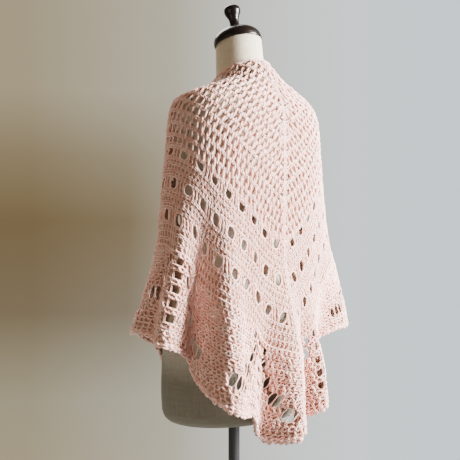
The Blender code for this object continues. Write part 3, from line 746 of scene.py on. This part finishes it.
class Ground:
    """The thin cloth that the stitches stand on, with its eyelets and slots left open."""

    def __init__(self, wing):
        self.wing = wing
        self.flat = []
        self.known = {}
        self.faces = []

    def corner(self, depth, share):
        """The number of the corner at this flat place, a new one where there is none yet."""
        key = (round(depth, 7), round(share, 7))
        if key not in self.known:
            self.known[key] = len(self.flat)
            self.flat.append(key)
        return self.known[key]

    def face(self, *corners):
        ring = [self.corner(depth, share) for depth, share in corners]
        self.faces.append(ring if self.wing.side > 0 else ring[:1] + ring[:0:-1])

    def band(self, upper, lower, cells, holes=()):
        """Equal cells between two rows, apart from those whose middle lies in a hole."""
        inside = [hole for hole in holes if hole[0] < (upper + lower) / 2.0 < hole[1]]
        for index in range(cells):
            near = index / cells
            far = (index + 1) / cells
            middle = (near + far) / 2.0
            if not any(hole[2] < middle < hole[3] for hole in inside):
                self.face((upper, far), (lower, far), (lower, near), (upper, near))

    def zipper(self, upper, upper_cells, lower, lower_cells):
        """Triangles between two rows of unequally many cells."""
        above = 0
        below = 0
        while above < upper_cells or below < lower_cells:
            here = (upper, above / upper_cells)
            under = (lower, below / lower_cells)
            if below == lower_cells or (above + 1) * lower_cells < (below + 1) * upper_cells:
                above += 1
                self.face(here, (upper, above / upper_cells), under)
            else:
                below += 1
                self.face(here, (lower, below / lower_cells), under)

    def into(self, mesh):
        """Gives the mesh both sides of the cloth and the walls along its open edges."""
        depth, share = np.array(self.flat).T
        across = (share - 0.5) * np.maximum(self.wing.length(depth), 0.01)
        outer = self.wing.lay(depth, across, np.full_like(depth, GROUND_THICKNESS / 2.0))[0]
        inner = self.wing.lay(depth, across, np.full_like(depth, -GROUND_THICKNESS / 2.0))[0]
        at_spine = share == 0.0
        outer[at_spine, 0] = self.wing.side * SEAM_GAP / 2.0
        inner[at_spine, 0] = self.wing.side * SEAM_GAP / 2.0
        count = len(self.flat)
        edges = {(ring[i - 1], ring[i]) for ring in self.faces for i in range(len(ring))}
        points = np.concatenate([outer, inner])
        by_size = {}
        for ring in self.faces:
            by_size.setdefault(len(ring), []).append(ring)
            by_size[len(ring)].append([corner + count for corner in reversed(ring)])
        for start, end in sorted(edges):
            if (end, start) not in edges:
                by_size.setdefault(4, []).append([end, start, start + count, end + count])
        start = mesh.total
        mesh.points.append(points)
        # The whole thin cloth gets the full painted shade colour of the yarn's hollows
        mesh.painted_shades.append(np.ones(len(points)))
        mesh.total += len(points)
        for size, faces in by_size.items():
            mesh.corners.append(np.array(faces).reshape(-1) + start)
            mesh.counts.append(np.full(len(faces), size))


def ground(mesh, wing):
    """Thin cloth under the close rows and the border, and ribbons under the mesh rows' tops."""
    sheet = Ground(wing)
    for index in range(1, MESH_ROWS + 1):
        top = index * MESH_ROW
        cells = max(4, int(wing.length(top) / 0.010))
        upper = top + RIBBON
        lower = top + MESH_ROW - RIBBON
        middle = top + MESH_ROW / 2.0
        sheet.band(top - RIBBON, upper, cells)
        for place in spread(wing, middle, MESH_PITCH, 0.5 * (index % 2), 0.004):
            open_part = np.clip((wing.share(middle, place) - CLOSED_SHARE) / OPENING_SHARE, 0.0, 1.0)
            half = CLOSED_RIB + (RIB - CLOSED_RIB) * open_part * min(1.0, index / 4.0)
            rib = [wing.share(depth, place + reach) for depth in (upper, lower) for reach in (-half, half)]
            near_up, far_up, near_low, far_low = np.clip(rib, 0.0, 1.0)
            sheet.face((upper, far_up), (lower, far_low), (lower, near_low), (upper, near_up))
    holes = eyelet_holes() + border_holes()
    levels = [(GROUND_START, 8 * EYELET_CELLS[0])]
    height = EYELET_HEIGHT + 2.0 * EYELET_MORE
    for middle, cells in zip(EYELET_DEPTHS, EYELET_CELLS):
        for step in range(4):
            levels.append((middle - height / 2.0 + height * step / 3.0, 8 * cells))
        after = middle + height / 2.0
        before_next = middle + EYELET_PITCH - height / 2.0
        for step in range(1, 6):
            levels.append((after + (before_next - after) * step / 7.0, 8 * cells))
    while levels[-1][0] > CLOSE_GROUND_END:
        levels.pop()
    levels.append((BORDER_JOIN, BORDER_JOIN_CELLS))
    for upper, lower in zip(BORDER_ROWS, BORDER_ROWS[1:]):
        for step in range(4):
            levels.append((upper + (lower - upper) * step / 4.0, 4 * BORDER_CELLS))
    levels.append((BORDER_ROWS[-1], 4 * BORDER_CELLS))
    levels.append((PICOT_ROOT_DEPTH, 4 * BORDER_CELLS))
    for (upper, upper_cells), (lower, lower_cells) in zip(levels, levels[1:]):
        if upper_cells == lower_cells:
            sheet.band(upper, lower, lower_cells, holes)
        else:
            sheet.zipper(upper, upper_cells, lower, lower_cells)
    sheet.into(mesh)


def loft(name, rings, material):
    """A closed body from rings of equally many points, the lowest first."""
    mesh = Mesh()
    number, sides = rings.shape[:2]
    here = np.arange(number - 1)[:, None] * sides
    corner = np.arange(sides)[None, :]
    beside = (corner + 1) % sides
    mesh.add(rings, np.stack([
        here + corner, here + beside, here + beside + sides, here + corner + sides,
    ], axis=-1).reshape(-1, 4))
    for cap in (np.arange(sides)[::-1], np.arange(sides) + (number - 1) * sides):
        mesh.corners.append(cap)
        mesh.counts.append(np.array([sides]))
    return mesh.piece(name, material)


def linen_form(material):
    """The torso and neck, finer than the CAD's."""
    sides = 144
    spans = zip(FORM_SECTIONS, FORM_SECTIONS[1:])
    heights = [np.linspace(row.height, after.height, 5)[:-1] for row, after in spans]
    heights = np.concatenate(heights + [[FORM_SECTIONS[-1].height]])
    angle = np.linspace(0.0, 360.0, sides, endpoint=False)
    grid_height, grid_angle = np.meshgrid(heights, angle, indexing="ij")
    rings = ring_point(FORM_SECTIONS, grid_angle, grid_height)[0][:, ::-1]
    return loft("linen_form", rings, material)


def turned(name, profile, material, foot=(0.0, 0.0), slope=0.0, sides=72):
    """A solid of revolution, smooth through its (radius, height) pairs from the bottom up.

    Its foot is a (y, z) place, and it stands square to a plane that rises backward by the slope.
    """
    profile = np.array(profile)
    run = np.concatenate([[0.0], np.cumsum(np.linalg.norm(np.diff(profile, axis=0), axis=1))])
    places = np.unique(np.concatenate([np.linspace(0.0, run[-1], 60), run]))
    radius = eased(places, run, profile[:, 0])[:, None]
    height = eased(places, run, profile[:, 1])[:, None]
    turn = np.linspace(0.0, 2.0 * np.pi, sides, endpoint=False)[None, :]
    backward = radius * np.sin(turn)
    length = math.hypot(1.0, slope)
    rings = np.stack([
        radius * np.cos(turn),
        foot[0] + (backward - height * slope) / length,
        foot[1] + (backward * slope + height) / length,
    ], axis=-1)
    return loft(name, rings, material)


class Nodes:
    """The shader nodes of one material or of the room."""

    def __init__(self, tree, space):
        self.tree = tree
        self.place = self.add("TexCoord").outputs[space]

    def feed(self, node, inputs):
        """Sets a node's inputs to plain values, or links them to other nodes' outputs."""
        for name, value in inputs.items():
            if isinstance(value, bpy.types.NodeSocket):
                self.tree.links.new(value, node.inputs[name])
            else:
                node.inputs[name].default_value = value

    def add(self, kind, inputs=None, **settings):
        """A new node with its settings made and its inputs fed."""
        node = self.tree.nodes.new("ShaderNode" + kind)
        for name, value in settings.items():
            setattr(node, name, value)
        self.feed(node, inputs or {})
        return node

    def noise(self, scale, detail, stretch=(1.0, 1.0, 1.0)):
        """Noise over the place, stretched by unequal scales."""
        mapping = self.add("Mapping", {"Vector": self.place, "Scale": stretch})
        inputs = {"Vector": mapping.outputs["Vector"], "Scale": scale, "Detail": detail}
        return self.add("TexNoise", inputs).outputs["Fac"]

    def ramp(self, value, *stops):
        """Colours along a value from 0 to 1."""
        node = self.add("ValToRGB", {"Fac": value})
        elements = node.color_ramp.elements
        while len(elements) < len(stops):
            elements.new(0.5)
        for element, (place, color) in zip(elements, stops):
            element.position = place
            element.color = (*color, 1.0)
        return node.outputs["Color"]

    def between(self, value, low, high, first=0.0, last=1.0):
        """A value's place from low to high, carried over to first and last."""
        inputs = {"Value": value, "From Min": low, "From Max": high, "To Min": first, "To Max": last}
        return self.add("MapRange", inputs).outputs["Result"]

    def mixed(self, factor, color, other, blend="MIX"):
        inputs = {"Factor": factor, "A": color, "B": other}
        return self.add("Mix", inputs, data_type="RGBA", blend_type=blend).outputs["Result"]

    def math(self, operation, value, other):
        return self.add("Math", {0: value, 1: other}, operation=operation).outputs["Value"]

    def along(self, direction):
        """How far the place points along a direction."""
        inputs = {0: self.place, 1: direction}
        return self.add("VectorMath", inputs, operation="DOT_PRODUCT").outputs["Value"]

    def upward(self):
        """The place's height."""
        return self.add("SeparateXYZ", {"Vector": self.place}).outputs["Z"]

    def relief(self, value, strength, distance):
        """Fine relief that follows a value."""
        inputs = {"Height": value, "Strength": strength, "Distance": distance}
        return self.add("Bump", inputs).outputs["Normal"]


def new_material(name, color, roughness):
    """A new material, its nodes and its shader."""
    material = bpy.data.materials.new(name)
    material.use_nodes = True
    nodes = Nodes(material.node_tree, "Object")
    shader = material.node_tree.nodes["Principled BSDF"]
    nodes.feed(shader, {"Base Color": (*color, 1.0), "Roughness": roughness})
    return material, nodes, shader


def yarn_material():
    """Soft matt yarn: uneven dye, fine fibres, painted shade in its hollows and a little sheen."""
    dark, middle, pale = YARN_COLORS
    material, nodes, shader = new_material("yarn", middle, 0.92)
    dyed = nodes.ramp(nodes.noise(90.0, 4.0), (0.30, dark), (0.50, middle), (0.68, pale))
    # Painted shade: the yarn turns darker and browner where its points lie low between strands
    painted_shade = nodes.add("Attribute", attribute_name="painted_shade").outputs["Fac"]
    nodes.feed(shader, {
        "Base Color": nodes.mixed(painted_shade, dyed, (*YARN_PAINTED_SHADE, 1.0)),
        "Normal": nodes.relief(nodes.noise(1500.0, 2.0), 0.35, 0.0006),
        "Subsurface Weight": 0.2,
        "Subsurface Radius": (0.8, 0.55, 0.45),
        "Subsurface Scale": 0.004,
        "Sheen Weight": 0.15,
        "Sheen Roughness": 0.6,
        "Sheen Tint": (1.0, 0.86, 0.82, 1.0),
        "Specular IOR Level": 0.15,
    })
    return material


def linen_material():
    """Plain-woven linen: fine slubby threads both ways, greyer low down by painted shade, creamier above it
    by painted warm bounce light, and a darker tan at the neck.
    """
    material, nodes, shader = new_material("linen", (0.60, 0.57, 0.50), 0.9)
    upright = nodes.noise(900.0, 2.0, (1.0, 1.0, 0.04))
    level = nodes.noise(900.0, 2.0, (0.05, 0.05, 1.0))
    weave = nodes.math("MULTIPLY", nodes.math("ADD", upright, level), 0.5)
    woven = nodes.ramp(weave, (0.36, (0.74, 0.71, 0.62)), (0.64, (0.97, 0.96, 0.90)))
    # Painted shade greys the linen low down, and painted warm bounce light creams it from the hip up under
    # the shawl
    painted_shade_grey = (0.23, 0.22, 0.19)
    painted_bounce_cream = (1.0, 0.95, 0.88)
    rise = nodes.between(nodes.upward(), 0.70, 1.40)
    painted_shade_and_light = nodes.ramp(rise, (0.0, painted_shade_grey), (0.12, painted_shade_grey), (0.35, painted_bounce_cream), (0.80, painted_bounce_cream), (1.0, (0.78, 0.70, 0.58)))
    nodes.feed(shader, {
        "Base Color": nodes.mixed(1.0, woven, painted_shade_and_light, "MULTIPLY"),
        "Normal": nodes.relief(weave, 0.5, 0.0004),
        "Specular IOR Level": 0.2,
    })
    return material


def walnut_material():
    """Dark polished walnut with its grain along the turning."""
    material, nodes, shader = new_material("walnut", (0.010, 0.005, 0.004), 0.28)
    grain = nodes.noise(120.0, 5.0, (1.0, 1.0, 0.12))
    nodes.feed(shader, {
        "Base Color": nodes.ramp(grain, (0.35, (0.003, 0.002, 0.002)), (0.72, (0.009, 0.004, 0.003))),
        "Normal": nodes.relief(grain, 0.06, 0.0003),
        "Specular IOR Level": 0.3,
        "Coat Weight": 0.15,
        "Coat Roughness": 0.12,
    })
    return material


def steel_material():
    """Black powder-coated steel."""
    material, nodes, shader = new_material("black_steel", (0.018, 0.018, 0.02), 0.38)
    grit = nodes.noise(1400.0, 2.0)
    nodes.feed(shader, {
        "Base Color": nodes.ramp(grit, (0.35, (0.012, 0.012, 0.014)), (0.70, (0.030, 0.030, 0.033))),
        "Normal": nodes.relief(grit, 0.12, 0.0002),
    })
    return material


def floor_material():
    """Plain pale screed with faint clouds."""
    material, nodes, shader = new_material("pale_floor", (0.42, 0.42, 0.41), 0.85)
    clouds = nodes.ramp(nodes.noise(3.0, 2.0), (0.3, (0.40, 0.40, 0.39)), (0.7, (0.45, 0.45, 0.44)))
    nodes.feed(shader, {"Base Color": clouds})
    return material


def add_floor():
    """A plain pale round floor under the stand."""
    turns = np.linspace(0.0, 2.0 * np.pi, FLOOR_SIDES, endpoint=False)
    mesh = bpy.data.meshes.new("floor")
    points = [(FLOOR_RADIUS * math.cos(turn), FLOOR_RADIUS * math.sin(turn), -FLOOR_DROP) for turn in turns]
    mesh.from_pydata(points, [], [list(range(FLOOR_SIDES))])
    mesh.materials.append(floor_material())
    floor = bpy.data.objects.new("floor", mesh)
    bpy.context.scene.collection.objects.link(floor)


def add_world():
    """A pale room. Its wall behind the form is warm and shaded at the left, and cool at the right."""
    world = bpy.data.worlds.new("studio")
    bpy.context.scene.world = world
    world.use_nodes = True
    nodes = Nodes(world.node_tree, "Generated")
    right = nodes.along(PHOTO_RIGHT)
    toward = nodes.along(PHOTO_TOWARD)
    color = nodes.ramp(nodes.between(right, -0.26, 0.26), *WALL_COLORS)
    low = nodes.ramp(nodes.between(nodes.upward(), -0.30, 0.30), *WALL_SHADE)
    wall = nodes.mixed(nodes.between(right, 0.02, -0.14), color, low, "MULTIPLY")
    nodes.feed(world.node_tree.nodes["Background"], {
        "Color": nodes.mixed(nodes.between(toward, -0.92, -0.60), wall, (*ROOM_COLOR, 1.0)),
        "Strength": nodes.between(toward, -0.92, -0.60, WALL_STRENGTH, ROOM_STRENGTH),
    })


def add_light(lamp):
    """A soft rectangular light at its place, turned to its target."""
    light = bpy.data.lights.new(lamp.name, "AREA")
    light.shape = "RECTANGLE"
    light.size = lamp.width
    light.size_y = lamp.height
    light.energy = lamp.power
    light.color = lamp.color
    light.spread = math.radians(lamp.spread)
    holder = bpy.data.objects.new(lamp.name, light)
    holder.location = lamp.place
    holder.rotation_euler = (Vector(lamp.target) - Vector(lamp.place)).to_track_quat("-Z", "Y").to_euler()
    bpy.context.scene.collection.objects.link(holder)


def add_camera():
    """The photograph's view: level, from behind the form's left shoulder."""
    camera = bpy.data.cameras.new("camera")
    camera.sensor_width = SENSOR_WIDTH
    camera.lens = SENSOR_WIDTH * FOCAL_PIXELS / IMAGE_PIXELS
    camera.shift_x = CAMERA_SHIFT_PIXELS / IMAGE_PIXELS
    camera.clip_start = 0.05
    eye = bpy.data.objects.new("camera", camera)
    eye.location = (CAMERA_DISTANCE * math.sqrt(0.5), CAMERA_DISTANCE * math.sqrt(0.5), CAMERA_HEIGHT)
    eye.rotation_euler = (math.radians(90.0), 0.0, math.radians(135.0))
    bpy.context.scene.collection.objects.link(eye)
    bpy.context.scene.camera = eye


def finish_piece(piece, slot, *nodes):
    """Rides the only body, and stands for the CAD nodes given."""
    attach(piece, "root")
    if nodes:
        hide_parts(*nodes)


def main():
    add_camera()
    add_world()
    add_floor()
    for lamp in LAMPS:
        add_light(lamp)
    yarn = yarn_material()
    linen = linen_material()
    walnut = walnut_material()
    steel = steel_material()
    drape = Drape()
    wings = ((Wing(1, drape), "left"), (Wing(-1, drape), "right"))
    cloth = Mesh()
    for wing, word in wings:
        ground(cloth, wing)
        for name, makers in (
            ("mesh_rows", (nape, mesh_rows, spine_and_edges)),
            ("eyelet_rows", (eyelet_rows,)),
            ("lace_border", (border_rows,)),
            ("picots", (picots,)),
        ):
            mesh = Mesh()
            for maker in makers:
                maker(mesh, wing)
            piece = mesh.piece("yarn_" + name + "_" + word, yarn)
            finish_piece(piece, "yarn")
    cape = cloth.piece("shawl_cloth", yarn)
    finish_piece(
        cape, "yarn", "shawl_wing_left", "shawl_wing_right", "lace_border_left", "lace_border_right",
        "picot_edge_left", "picot_edge_right",
    )
    form = linen_form(linen)
    finish_piece(form, "linen", "form_torso")
    foot = (FORM_SECTIONS[-1].centre, NECK_TOP + NECK_SLOPE * FORM_SECTIONS[-1].centre)
    cap = [(0.0005, 0.0004), (CAP_RADIUS - 0.002, 0.0004), (CAP_RADIUS, 0.003), (CAP_RADIUS, CAP_RIM)]
    for step in range(1, 12):
        turn = math.radians(90.0 * step / 12.0)
        cap.append((CAP_RADIUS * math.cos(turn) ** 0.8, CAP_RIM + (CAP_RISE - CAP_RIM) * math.sin(turn)))
    finish_piece(turned("walnut_cap", cap, walnut, foot, NECK_SLOPE), "walnut", "neck_cap")
    knob = [(radius, CAP_RISE + SEAM_GAP + height) for radius, height in KNOB_PROFILE]
    finish_piece(turned("walnut_knob", knob, walnut, foot, NECK_SLOPE), "walnut", "finial_knob")
    for name in ("pole", "base_plate"):
        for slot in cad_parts[name].material_slots:
            slot.material = steel


main()
